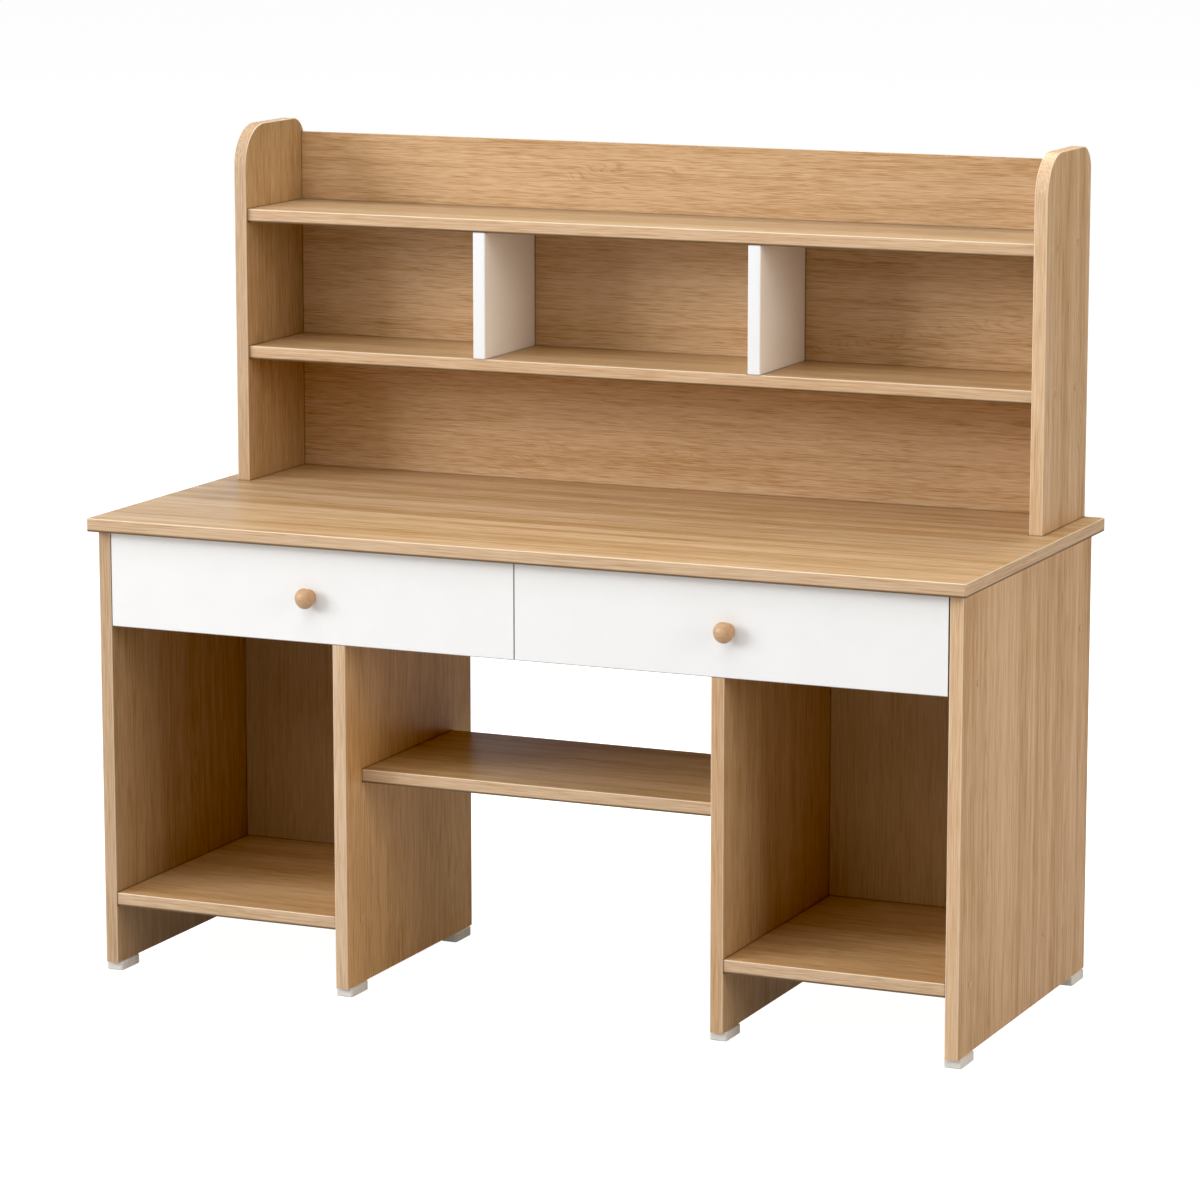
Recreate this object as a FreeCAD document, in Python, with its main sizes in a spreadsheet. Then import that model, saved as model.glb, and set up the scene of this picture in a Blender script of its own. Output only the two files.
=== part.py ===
"""Student desk with hutch, as a parametric assembly of its real pieces.

Millimetres, +Z up. The origin lies on the floor, in the middle of the desk's
width and half-way between its knobs' tips and its rear edge.
"""
import FreeCAD, Part
import math
import os
import re

import Sketcher

SIZES = {
    "desk_width": (1500, "desktop, end to end"),
    "desk_depth": (670, "desktop, front edge to rear edge"),
    "desk_height": (755, "floor to the top of the desktop"),
    "board": (22, "thickness of the faced boards"),
    "back_board": (12, "thickness of the pedestal and hutch backs"),
    "corner_radius": (3, "desktop's upright corners"),
    "arris": (2, "rounding along the edging of every board"),
    "side_inset": (10, "outer panel behind the end of the desktop"),
    "front_setback": (20, "panel and drawer fronts behind the desktop's front edge"),
    "rear_setback": (36, "outer panels' rear edge before the desktop's rear edge"),
    "foot_height": (15, "floor to the lower edge of the panels"),
    "foot_width": (30, "foot, across its panel"),
    "foot_length": (58, "foot, along its panel"),
    "foot_setback": (8, "foot behind the panel's front edge"),
    "foot_rear_setback": (12, "foot before the panel's rear edge"),
    "foot_radius": (4, "foot's upright corners"),
    "foot_chamfer": (1.5, "foot's lower edge"),
    "pedestal_depth": (466, "inner panels, front to rear"),
    "left_bay_width": (400, "clear width of the left pedestal"),
    "right_bay_width": (364, "clear width of the right pedestal"),
    "floor_height": (133, "top of the pedestal floors"),
    "floor_setback": (2, "pedestal floors behind the panel fronts"),
    "shelf_height": (366, "top of the kneehole shelf"),
    "shelf_setback": (57, "kneehole shelf behind the panel fronts"),
    "shelf_depth": (334, "kneehole shelf, front to rear"),
    "front_height": (154, "drawer fronts, from the deck's underside upwards"),
    "gap": (2, "shadow gap round the drawer fronts"),
    "front_board": (18, "thickness of the drawer fronts"),
    "drawer_board": (12, "thickness of the drawer sides and backs"),
    "drawer_length": (420, "drawer sides, front to rear"),
    "drawer_side_height": (110, "drawer sides"),
    "drawer_lift": (6, "drawer sides above the deck"),
    "bottom_board": (5, "thickness of the drawer bottoms"),
    "groove_height": (9, "drawer bottom above the sides' lower edge"),
    "groove_depth": (6, "groove for the drawer bottom"),
    "groove_slack": (0.3, "play of the drawer bottom in its groove"),
    "slide_space": (12.7, "drawer side to cabinet side, filled by a slide"),
    "slide_length": (400, "closed slide, and its full travel"),
    "slide_height": (45, "cabinet member, across its flanges"),
    "slide_rise": (40, "middle of the slide above the drawer sides' lower edge"),
    "steel": (1.2, "sheet of the slide members"),
    "bend": (1.6, "outer radius of the bends in the slide members"),
    "lip": (3, "turned lip of the slide members"),
    "ball": (3, "diameter of the bearing balls"),
    "ball_play": (0.3, "play of a ball in its raceway"),
    "ball_spacing": (150, "between the balls of a row"),
    "web_play": (0.4, "between the webs of the cabinet and middle members"),
    "knob_reach": (27, "knob, drawer front to tip"),
    "knob_radius": (17.5, "knob's dome"),
    "knob_rim": (15.5, "knob's widest circle from the drawer front"),
    "knob_foot_radius": (13, "knob's seat on the drawer front"),
    "knob_foot": (3, "thickness of the knob's seat"),
    "knob_waist": (8, "radius of the hollow between seat and dome"),
    "knob_softening": (2, "rounding of the knob's rim"),
    "knob_drop": (82, "knob's axis below the desktop's underside"),
    "bolt": (4, "knob bolt"),
    "bolt_head": (8, "head of the knob bolt"),
    "bolt_head_height": (2.6, "height of that head"),
    "bolt_grip": (9, "length of the bolt inside the knob"),
    "hutch_inset": (34, "hutch side behind the end of the desktop"),
    "hutch_depth": (216, "hutch sides, front to rear"),
    "hutch_height": (600, "hutch sides above the desktop"),
    "hutch_front_radius": (70, "hutch sides' upper front corners"),
    "hutch_rear_radius": (40, "hutch sides' upper rear corners"),
    "hutch_back_drop": (25, "top of the hutch back below the sides' tops"),
    "hutch_shelf_setback": (6, "hutch shelves behind the sides' front edges"),
    "lower_shelf": (229, "top of the lower hutch shelf above the desktop"),
    "upper_shelf": (460, "top of the upper hutch shelf above the desktop"),
    "left_cubby_width": (417, "clear width left of the left divider"),
    "right_cubby_width": (461, "clear width right of the right divider"),
    "screw": (7, "confirmat screw's shank"),
    "screw_length": (50, "confirmat screw under its head"),
    "screw_head": (10, "confirmat screw's head"),
    "screw_head_height": (3, "height of that head"),
    "screw_margin": (50, "screw from the front or rear edge of its board"),
    "screw_play": (0.1, "screw and dowel in their bores, all round"),
    "cap": (13, "cover cap over a screw's head"),
    "cap_height": (0.8, "thickness of the cap"),
    "dowel": (8, "wooden dowel"),
    "dowel_length": (30, "wooden dowel, half in each board"),
    "dowel_margin": (60, "dowel from the front or rear edge of its board"),
}

DERIVED = {
    "front_edge": "(knob_reach - front_setback - desk_depth) / 2",
    "rear_edge": "front_edge + desk_depth",
    "underside": "desk_height - board",
    "outer_face": "desk_width / 2 - side_inset",
    "inner_face": "outer_face - board",
    "carcass_front": "front_edge + front_setback",
    "carcass_rear": "rear_edge - rear_setback",
    "carcass_depth": "carcass_rear - carcass_front",
    "panel_height": "underside - foot_height",
    "deck_height": "underside - gap - front_height",
    "left_inner": "left_bay_width - inner_face",
    "right_inner": "inner_face - right_bay_width",
    "inner_height": "deck_height - foot_height",
    "pedestal_rear": "carcass_front + pedestal_depth",
    "floor_bottom": "floor_height - board",
    "floor_front": "carcass_front + floor_setback",
    "floor_depth": "pedestal_depth - floor_setback - back_board",
    "deck_top": "deck_height + board",
    "compartment_front": "carcass_front + front_board + gap",
    "compartment_depth": "carcass_rear - board - compartment_front",
    "compartment_height": "underside - deck_top",
    "drawer_space": "inner_face - board / 2",
    "box_width": "drawer_space - 2 * slide_space",
    "box_bottom": "deck_top + drawer_lift",
    "box_front": "carcass_front + front_board",
    "front_width": "inner_face - gap - gap / 2",
    "groove_width": "bottom_board + groove_slack",
    "bottom_entry": "groove_depth - groove_slack",
    "slide_front": "box_front + gap",
    "slide_middle": "box_bottom + slide_rise",
    "slide_half": "slide_height / 2",
    "race": "ball + 2 * ball_play",
    "middle_half": "slide_half - steel - race",
    "drawer_half": "middle_half - steel - race",
    "knob_height": "underside - knob_drop",
    "hutch_outer": "desk_width / 2 - hutch_inset",
    "hutch_inner": "hutch_outer - board",
    "hutch_front": "rear_edge - hutch_depth",
    "hutch_shelf_depth": "hutch_depth - hutch_shelf_setback - back_board",
    "hutch_shelf_front": "hutch_front + hutch_shelf_setback",
    "cubby_height": "upper_shelf - board - lower_shelf",
    "screw_bore": "screw + 2 * screw_play",
    "head_bore": "screw_head + 2 * screw_play",
    "dowel_bore": "dowel + 2 * screw_play",
    "dowel_bore_depth": "dowel_length / 2 + screw_play",
    "bolt_bore": "bolt + 2 * screw_play",
}

WORD = re.compile(r"[a-z_]+")
PLANE_AXES = {"XY": (0, 1), "XZ": (0, 2), "YZ": (1, 2)}
TINY = 1e-6

doc = FreeCAD.newDocument("StudentDesk")
sheet = doc.addObject("Spreadsheet::Sheet", "Sizes")
nodes = []
corners = {}
screw_places = []
dowel_places = []


def fill_sheet():
    """Write every driving dimension into the sheet, one to a row."""
    for row, (alias, (value, note)) in enumerate(SIZES.items(), start=1):
        sheet.set(f"A{row}", alias)
        sheet.set(f"B{row}", str(value))
        sheet.set(f"C{row}", note)
        sheet.setAlias(f"B{row}", alias)
    doc.recompute()


def formula(text):
    """Turn words that name sizes into an expression on the sheet."""
    def swap(match):
        word = match.group()
        if word in DERIVED:
            return "(" + formula(DERIVED[word]) + ")"
        return "Sizes." + word if word in SIZES else word
    return WORD.sub(swap, str(text))


def value(text):
    """Work a formula out to a number of millimetres."""
    result = sheet.evalExpression(formula(text))
    return float(getattr(result, "Value", result))


def new_body(label, place):
    """Start a piece whose own corner lies at place, three formulas."""
    body = doc.addObject("PartDesign::Body", label)
    body.Label = label
    for axis, text in zip("xyz", place):
        body.setExpression(f"Placement.Base.{axis}", formula(text))
    corners[label] = place
    nodes.append(body)
    return body


def new_sketch(body, name, plane, offset="0"):
    """Attach an empty sketch to one of the body's own origin planes."""
    sketch = body.newObject("Sketcher::SketchObject", name)
    support = [p for p in body.Origin.OriginFeatures if p.Role == plane + "_Plane"]
    sketch.AttachmentSupport = [(support[0], "")]
    sketch.MapMode = "FlatFace"
    outward = "-1 * " if plane == "XZ" else ""
    sketch.setExpression("AttachmentOffset.Base.z", f"{outward}({formula(offset)})")
    return sketch


def bind(sketch, constraint, text):
    """Add a dimension to a sketch and tie it to the sheet."""
    index = sketch.addConstraint(constraint)
    sketch.setExpression(f"Constraints[{index}]", formula(text))


def add_arc(sketch, centre, start, end):
    """Add the shorter arc between two points and number its ends.

    Arcs always run anticlockwise in a sketch, so the arc's own first
    point can be either of the two.
    """
    forward = (start - centre).cross(end - centre).z > 0
    first, last = (start, end) if forward else (end, start)
    angles = [math.atan2(p.y - centre.y, p.x - centre.x) for p in (first, last)]
    circle = Part.Circle(centre, FreeCAD.Vector(0, 0, 1), (start - centre).Length)
    arc = sketch.addGeometry(Part.ArcOfCircle(circle, *angles))
    return (arc, 1, 2) if forward else (arc, 2, 1)


def draw_outline(sketch, points):
    """Draw a closed outline of level and upright lines.

    Each point is (across, up) or (across, up, radius of that corner).
    """
    spots = [[value(p[0]), value(p[1])] for p in points]
    radii = [value(p[2]) if len(p) > 2 else 0 for p in points]
    count = len(points)

    def step(start, end, distance):
        """Return the point that lies this far from start towards end."""
        run = FreeCAD.Vector(end[0] - start[0], end[1] - start[1], 0)
        return FreeCAD.Vector(*start, 0) + run.normalize() * distance

    lines = []
    for i in range(count):
        after = (i + 1) % count
        start = step(spots[i], spots[after], radii[i])
        end = step(spots[after], spots[i], radii[after])
        line = sketch.addGeometry(Part.LineSegment(start, end))
        level = abs(start.y - end.y) < TINY
        sketch.addConstraint(Sketcher.Constraint("Horizontal" if level else "Vertical", line))
        if level:
            bind(sketch, Sketcher.Constraint("DistanceY", line, 1, start.y), points[i][1])
        else:
            bind(sketch, Sketcher.Constraint("DistanceX", line, 1, start.x), points[i][0])
        lines.append(line)

    for i in range(count):
        before = lines[i - 1]
        if not radii[i]:
            sketch.addConstraint(Sketcher.Constraint("Coincident", before, 2, lines[i], 1))
            continue
        enter = sketch.Geometry[before].EndPoint
        leave = sketch.Geometry[lines[i]].StartPoint
        centre = enter + leave - FreeCAD.Vector(*spots[i], 0)
        arc, first, last = add_arc(sketch, centre, enter, leave)
        sketch.addConstraint(Sketcher.Constraint("Tangent", before, 2, arc, first))
        sketch.addConstraint(Sketcher.Constraint("Tangent", lines[i], 1, arc, last))
        bind(sketch, Sketcher.Constraint("Radius", arc, radii[i]), points[i][2])


def rectangle(width, height, low="0", left="0"):
    """Return the four corners of a plain rectangle."""
    right = f"{left} + {width}"
    top = f"{low} + {height}"
    return [(left, low), (right, low), (right, top), (left, top)]


def pad(body, name, plane, points, length, offset="0"):
    """Pad an outline away from a plane, towards the positive axis."""
    sketch = new_sketch(body, name + "_outline", plane, offset)
    draw_outline(sketch, points)
    feature = body.newObject("PartDesign::Pad", name)
    feature.Profile = sketch
    feature.Reversed = plane == "XZ"
    feature.setExpression("Length", formula(length))
    doc.recompute()
    return feature


def cut(body, name, plane, offset, depth, direction, draw):
    """Pocket what draw puts in a sketch, along + or - the plane's axis."""
    volume = body.Shape.Volume
    sketch = new_sketch(body, name + "_outline", plane, offset)
    draw(sketch)
    feature = body.newObject("PartDesign::Pocket", name)
    feature.Profile = sketch
    feature.Reversed = (direction == "+") != (plane == "XZ")
    feature.setExpression("Length", formula(depth))
    doc.recompute()
    if body.Shape.Volume > volume - TINY:
        raise RuntimeError(f"{name} cuts nothing from {body.Label}")
    return feature


def bore(body, name, plane, offset, depth, direction, diameter, centres):
    """Bore round holes whose centres are given in the desk's own frame."""
    place = [corners[body.Label][axis] for axis in PLANE_AXES[plane]]

    def draw(sketch):
        for centre in centres:
            texts = [f"{a} - ({b})" for a, b in zip(centre, place)]
            x, y = value(texts[0]), value(texts[1])
            circle = Part.Circle(FreeCAD.Vector(x, y, 0), FreeCAD.Vector(0, 0, 1), value(diameter) / 2)
            hole = sketch.addGeometry(circle)
            bind(sketch, Sketcher.Constraint("DistanceX", hole, 3, x), texts[0])
            bind(sketch, Sketcher.Constraint("DistanceY", hole, 3, y), texts[1])
            bind(sketch, Sketcher.Constraint("Diameter", hole, value(diameter)), diameter)

    cut(body, name, plane, offset, depth, direction, draw)


def soften(body, name, kind, size, wanted):
    """Fillet or chamfer the edges for which wanted(edge) is true."""
    base = body.Tip
    names = [f"Edge{i}" for i, edge in enumerate(base.Shape.Edges, start=1) if wanted(edge)]
    feature = body.newObject(f"PartDesign::{kind}", name)
    feature.Base = (base, names)
    size_name = "Radius" if kind == "Fillet" else "Size"
    feature.setExpression(size_name, formula(size))
    doc.recompute()
    return feature


def level_edge(height):
    """Return a test for edges that lie wholly at one height in the body."""
    def test(edge):
        box = edge.BoundBox
        return abs(box.ZMin - height) < TINY and abs(box.ZMax - height) < TINY
    return test


def shelf(label, place, width, depth, thickness="board"):
    """Make a level board with a rounded front edge."""
    body = new_body(label, place)
    section = [("0", "0", "arris"), (depth, "0"), (depth, thickness), ("0", thickness, "arris")]
    pad(body, label + "_board", "YZ", section, width)
    return body


def upright(label, place, depth, height, thickness="board"):
    """Make an upright board that runs front to rear, with rounded edges."""
    body = new_body(label, place)
    plan = [point + ("arris",) for point in rectangle(thickness, depth)]
    pad(body, label + "_board", "XY", plan, height)
    return body


def backing(label, place, width, height, thickness="back_board"):
    """Make an upright board that runs from side to side."""
    body = new_body(label, place)
    pad(body, label + "_board", "XY", rectangle(width, thickness), height)
    return body


def screw_joint(through, into, face, direction, ends, height):
    """Screw two boards together with a confirmat near each edge.

    The heads sink into the board called through, at x = face, and the
    screws run along + or - X into the end of the board called into.
    ends gives the two places along Y.
    """
    name = f"{into.Label}_joint"
    centres = [(end, height) for end in ends]
    place_through = corners[through.Label][0]
    place_into = corners[into.Label][0]
    entry = f"{face} - ({place_through})"
    bore(through, name + "_shank", "YZ", entry, "board", direction, "screw_bore", centres)
    bore(through, name + "_head", "YZ", entry, "screw_head_height", direction, "head_bore", centres)
    seam = f"{face} {direction} board - ({place_into})"
    depth = "screw_head_height + screw_length - board + screw_play"
    bore(into, f"{through.Label}_joint", "YZ", seam, depth, direction, "screw_bore", centres)
    for end in ends:
        screw_places.append((face, end, height, direction))


def dowel_joint(lower, upper, seam, places):
    """Set dowels upright between two boards that meet at z = seam."""
    seam_lower = f"{seam} - ({corners[lower.Label][2]})"
    seam_upper = f"{seam} - ({corners[upper.Label][2]})"
    bore(lower, f"{upper.Label}_dowels", "XY", seam_lower, "dowel_bore_depth", "-", "dowel_bore", places)
    bore(upper, f"{lower.Label}_dowels", "XY", seam_upper, "dowel_bore_depth", "+", "dowel_bore", places)
    dowel_places.extend((x, y, seam) for x, y in places)


def make_desktop():
    """Make the worktop with softened edges all round."""
    body = new_body("desktop", ("-desk_width / 2", "front_edge", "underside"))
    plan = [point + ("corner_radius",) for point in rectangle("desk_width", "desk_depth")]
    pad(body, "desktop_board", "XY", plan, "board")
    top, bottom = level_edge(value("board")), level_edge(0)
    soften(body, "desktop_edging", "Fillet", "arris", lambda edge: top(edge) or bottom(edge))
    return body


def make_desk():
    """Make the boards of the desk under its top and join them."""
    desktop = make_desktop()
    left_side = upright("left_side_panel", ("-outer_face", "carcass_front", "foot_height"),
                        "carcass_depth", "panel_height")
    right_side = upright("right_side_panel", ("inner_face", "carcass_front", "foot_height"),
                         "carcass_depth", "panel_height")
    left_inner = upright("left_inner_panel", ("left_inner", "carcass_front", "foot_height"),
                         "pedestal_depth", "inner_height")
    right_inner = upright("right_inner_panel", ("right_inner - board", "carcass_front", "foot_height"),
                          "pedestal_depth", "inner_height")
    left_floor = shelf("left_pedestal_floor", ("-inner_face", "floor_front", "floor_bottom"),
                       "left_bay_width", "floor_depth")
    right_floor = shelf("right_pedestal_floor", ("right_inner", "floor_front", "floor_bottom"),
                        "right_bay_width", "floor_depth")
    back_front = "pedestal_rear - back_board"
    back_height = "deck_height - floor_bottom"
    backing("left_pedestal_back", ("-inner_face", back_front, "floor_bottom"),
            "left_bay_width", back_height)
    backing("right_pedestal_back", ("right_inner", back_front, "floor_bottom"),
            "right_bay_width", back_height)
    kneehole = shelf("kneehole_shelf",
                     ("left_inner + board", "carcass_front + shelf_setback", "shelf_height - board"),
                     "right_inner - left_inner - 2 * board", "shelf_depth")
    deck = shelf("drawer_deck", ("-inner_face", "compartment_front", "deck_height"),
                 "2 * inner_face", "compartment_depth + board")
    partition = upright("centre_partition", ("-board / 2", "compartment_front", "deck_top"),
                        "compartment_depth", "compartment_height")
    backing("rear_apron", ("-inner_face", "carcass_rear - board", "deck_top"),
            "2 * inner_face", "compartment_height", "board")

    floor_ends = ("floor_front + screw_margin", "floor_front + floor_depth - screw_margin")
    floor_middle = "floor_height - board / 2"
    screw_joint(left_side, left_floor, "-outer_face", "+", floor_ends, floor_middle)
    screw_joint(right_side, right_floor, "outer_face", "-", floor_ends, floor_middle)
    screw_joint(left_inner, left_floor, "left_inner + board", "-", floor_ends, floor_middle)
    screw_joint(right_inner, right_floor, "right_inner - board", "+", floor_ends, floor_middle)
    deck_ends = ("compartment_front + screw_margin", "carcass_rear - screw_margin")
    deck_middle = "deck_height + board / 2"
    screw_joint(left_side, deck, "-outer_face", "+", deck_ends, deck_middle)
    screw_joint(right_side, deck, "outer_face", "-", deck_ends, deck_middle)
    shelf_front = "carcass_front + shelf_setback"
    shelf_ends = (f"{shelf_front} + screw_margin", f"{shelf_front} + shelf_depth - screw_margin")
    shelf_middle = "shelf_height - board / 2"
    screw_joint(left_inner, kneehole, "left_inner", "+", shelf_ends, shelf_middle)
    screw_joint(right_inner, kneehole, "right_inner", "-", shelf_ends, shelf_middle)

    side_ends = ("carcass_front + dowel_margin", "carcass_rear - dowel_margin")
    for panel, sign in ((left_side, "-"), (right_side, "")):
        middle = f"{sign}(outer_face - board / 2)"
        dowel_joint(panel, desktop, "underside", [(middle, end) for end in side_ends])
    partition_ends = ("compartment_front + dowel_margin", "carcass_rear - board - dowel_margin")
    dowel_joint(partition, desktop, "underside", [("0", end) for end in partition_ends])
    inner_ends = ("compartment_front + dowel_margin", "pedestal_rear - dowel_margin")
    for panel, middle in ((left_inner, "left_inner + board / 2"), (right_inner, "right_inner - board / 2")):
        dowel_joint(panel, deck, "deck_height", [(middle, end) for end in inner_ends])
    return desktop


def make_hutch(desktop):
    """Make the hutch that stands on the desktop's rear."""
    sides = []
    for label, x in (("hutch_left_side", "-hutch_outer"), ("hutch_right_side", "hutch_inner")):
        body = new_body(label, (x, "hutch_front", "desk_height"))
        face = [("0", "0"), ("hutch_depth", "0"), ("hutch_depth", "hutch_height", "hutch_rear_radius"),
                ("0", "hutch_height", "hutch_front_radius")]
        pad(body, label + "_board", "YZ", face, "board")
        soften(body, label + "_edging", "Fillet", "arris", rim_of_side)
        sides.append(body)
    backing("hutch_back", ("-hutch_inner", "rear_edge - back_board", "desk_height"),
            "2 * hutch_inner", "hutch_height - hutch_back_drop")
    for label, height in (("hutch_lower_shelf", "lower_shelf"), ("hutch_upper_shelf", "upper_shelf")):
        top = f"desk_height + {height}"
        board = shelf(label, ("-hutch_inner", "hutch_shelf_front", f"{top} - board"),
                      "2 * hutch_inner", "hutch_shelf_depth")
        ends = ("hutch_shelf_front + screw_margin", "rear_edge - back_board - screw_margin")
        screw_joint(sides[0], board, "-hutch_outer", "+", ends, f"{top} - board / 2")
        screw_joint(sides[1], board, "hutch_outer", "-", ends, f"{top} - board / 2")
    for label, x in (("left_divider", "left_cubby_width - hutch_inner"),
                     ("right_divider", "hutch_inner - right_cubby_width - board")):
        upright(label, (x, "hutch_shelf_front", "desk_height + lower_shelf"),
                "hutch_shelf_depth", "cubby_height")
    for side, sign in zip(sides, ("-", "")):
        middle = f"{sign}(hutch_outer - board / 2)"
        ends = ("hutch_front + dowel_margin", "rear_edge - dowel_margin")
        dowel_joint(desktop, side, "desk_height", [(middle, end) for end in ends])


def rim_of_side(edge):
    """Pick the edges round a hutch side's two faces, but not its foot."""
    box = edge.BoundBox
    return box.XLength < TINY < box.ZMax


def make_feet():
    """Make the eight glides under the ends of the four panels."""
    panels = (("left_outer", "-(outer_face - board / 2)", "carcass_rear"),
              ("left_inner", "left_inner + board / 2", "pedestal_rear"),
              ("right_inner", "right_inner - board / 2", "pedestal_rear"),
              ("right_outer", "outer_face - board / 2", "carcass_rear"))
    for panel, middle, rear in panels:
        places = (("front", "carcass_front + foot_setback"),
                  ("rear", f"{rear} - foot_rear_setback - foot_length"))
        for end, y in places:
            label = f"foot_{panel}_{end}"
            body = new_body(label, (f"{middle} - foot_width / 2", y, "0"))
            plan = [point + ("foot_radius",) for point in rectangle("foot_width", "foot_length")]
            pad(body, label + "_block", "XY", plan, "foot_height")
            soften(body, label + "_chamfer", "Chamfer", "foot_chamfer", level_edge(0))


def make_drawer(side):
    """Make the left or the right drawer: its box, its front and its knob."""
    left = side == "left"
    front_left = "gap - inner_face" if left else "gap / 2"
    box_left = "slide_space - inner_face" if left else "board / 2 + slide_space"
    box_right = f"{box_left} + box_width"
    middle = f"{front_left} + front_width / 2"
    groove_low = "box_bottom + groove_height"

    front = new_body(f"{side}_drawer_front", (front_left, "carcass_front", "deck_height"))
    front_section = [("0", "0", "arris"), ("front_board", "0"), ("front_board", "front_height"),
                     ("0", "front_height", "arris")]
    pad(front, f"{side}_drawer_front_board", "YZ", front_section, "front_width")
    groove_left = f"{box_left} + drawer_board - bottom_entry - ({front_left})"
    groove = rectangle("box_width - 2 * drawer_board + 2 * bottom_entry", "groove_width",
                       f"{groove_low} - deck_height", groove_left)
    cut(front, f"{side}_drawer_front_groove", "XZ", "front_board", "groove_depth", "-",
        lambda sketch: draw_outline(sketch, groove))
    bore(front, f"{side}_drawer_front_bolt_bore", "XZ", "0", "front_board", "+", "bolt_bore",
         [(middle, "knob_height")])

    side_section = {
        "left": [("0", "0"), ("drawer_board", "0"), ("drawer_board", "groove_height"),
                 ("drawer_board - groove_depth", "groove_height"),
                 ("drawer_board - groove_depth", "groove_height + groove_width"),
                 ("drawer_board", "groove_height + groove_width"),
                 ("drawer_board", "drawer_side_height"), ("0", "drawer_side_height")],
        "right": [("0", "0"), ("drawer_board", "0"), ("drawer_board", "drawer_side_height"),
                  ("0", "drawer_side_height"), ("0", "groove_height + groove_width"),
                  ("groove_depth", "groove_height + groove_width"), ("groove_depth", "groove_height"),
                  ("0", "groove_height")],
    }
    for hand_name, x in (("left", box_left), ("right", f"{box_right} - drawer_board")):
        label = f"{side}_drawer_{hand_name}_side"
        body = new_body(label, (x, "box_front", "box_bottom"))
        pad(body, label + "_board", "XZ", side_section[hand_name], "drawer_length")

    label = f"{side}_drawer_back"
    body = new_body(label, (f"{box_left} + drawer_board", "box_front + drawer_length - drawer_board",
                            f"{groove_low} + groove_width"))
    pad(body, label + "_board", "XY", rectangle("box_width - 2 * drawer_board", "drawer_board"),
        "drawer_side_height - groove_height - groove_width")

    label = f"{side}_drawer_bottom"
    body = new_body(label, (f"{box_left} + drawer_board - bottom_entry", "box_front - bottom_entry",
                            groove_low))
    pad(body, label + "_board", "XY",
        rectangle("box_width - 2 * drawer_board + 2 * bottom_entry", "drawer_length + bottom_entry"),
        "bottom_board")

    make_knob(f"{side}_knob", middle)
    make_bolt(f"{side}_knob_bolt", middle)


def turn(body, name, points):
    """Turn a closed outline of straight lines about the body's Y axis."""
    sketch = new_sketch(body, name + "_outline", "XY")
    draw_outline(sketch, points)
    return finish_turn(body, name, sketch)


def finish_turn(body, name, sketch):
    """Revolve a finished sketch about its upright axis."""
    feature = body.newObject("PartDesign::Revolution", name)
    feature.Profile = sketch
    feature.ReferenceAxis = (sketch, ["V_Axis"])
    feature.Angle = 360
    doc.recompute()
    return feature


def make_knob(label, middle):
    """Turn a mushroom knob: a seat, a hollow waist and a domed head."""
    body = new_body(label, (middle, "carcass_front", "knob_height"))
    sketch = new_sketch(body, label + "_outline", "XY")
    seat = ("knob_foot_radius", "0")
    seat_top = ("knob_foot_radius", "-knob_foot")
    rim = ("knob_radius", "-knob_rim")
    tip = ("0", "-knob_reach")
    axis = ("0", "0")
    dome_rise = "(knob_reach - knob_rim)"
    dome = f"(knob_radius * knob_radius + {dome_rise} * {dome_rise}) / (2 * {dome_rise})"
    waist = bulging_arc(sketch, seat_top, rim, "knob_waist", -1)
    head = bulging_arc(sketch, rim, tip, dome, 1)
    lines = [(sketch.addGeometry(Part.LineSegment(spot(a), spot(b))), 1, 2)
             for a, b in ((axis, seat), (seat, seat_top), (tip, axis))]
    join(sketch, (lines[0], lines[1], waist, head, lines[2]), (axis, seat, seat_top, rim, tip))
    bind(sketch, Sketcher.Constraint("Radius", waist[0], value("knob_waist")), "knob_waist")
    bind(sketch, Sketcher.Constraint("Radius", head[0], value(dome)), dome)
    finish_turn(body, label + "_turning", sketch)
    rim_place = -value("knob_rim")
    soften(body, label + "_rim", "Fillet", "knob_softening",
           lambda edge: abs(edge.BoundBox.YMin - rim_place) + abs(edge.BoundBox.YMax - rim_place) < TINY)
    depth = "bolt_grip + screw_play"
    bore(body, label + "_bore", "XZ", "0", depth, "-", "bolt_bore", [(middle, "knob_height")])


def spot(texts):
    """Return the point that two formulas give."""
    return FreeCAD.Vector(value(texts[0]), value(texts[1]), 0)


def bulging_arc(sketch, start, end, radius, bulge):
    """Add an arc that bulges away from the axis (1) or towards it (-1)."""
    a, b = spot(start), spot(end)
    chord = b - a
    reach = (value(radius) ** 2 - chord.Length ** 2 / 4) ** 0.5
    inward = FreeCAD.Vector(chord.y, -chord.x, 0).normalize() * reach * bulge
    return add_arc(sketch, (a + b) / 2 + inward, a, b)


def join(sketch, pieces, starts):
    """Chain curves end to end and tie each start to its two formulas."""
    for i, (piece, first, _) in enumerate(pieces):
        before, _, last = pieces[i - 1]
        sketch.addConstraint(Sketcher.Constraint("Coincident", before, last, piece, first))
        place = spot(starts[i])
        bind(sketch, Sketcher.Constraint("DistanceX", piece, first, place.x), starts[i][0])
        bind(sketch, Sketcher.Constraint("DistanceY", piece, first, place.y), starts[i][1])


def make_bolt(label, middle):
    """Turn the bolt that holds a knob from inside the drawer."""
    body = new_body(label, (middle, "box_front", "knob_height"))
    shank = "front_board + bolt_grip"
    outline = [("0", "bolt_head_height"), ("0", f"-({shank})"), ("bolt / 2", f"-({shank})"),
               ("bolt / 2", "0"), ("bolt_head / 2", "0"), ("bolt_head / 2", "bolt_head_height")]
    turn(body, label + "_turning", outline)


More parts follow.
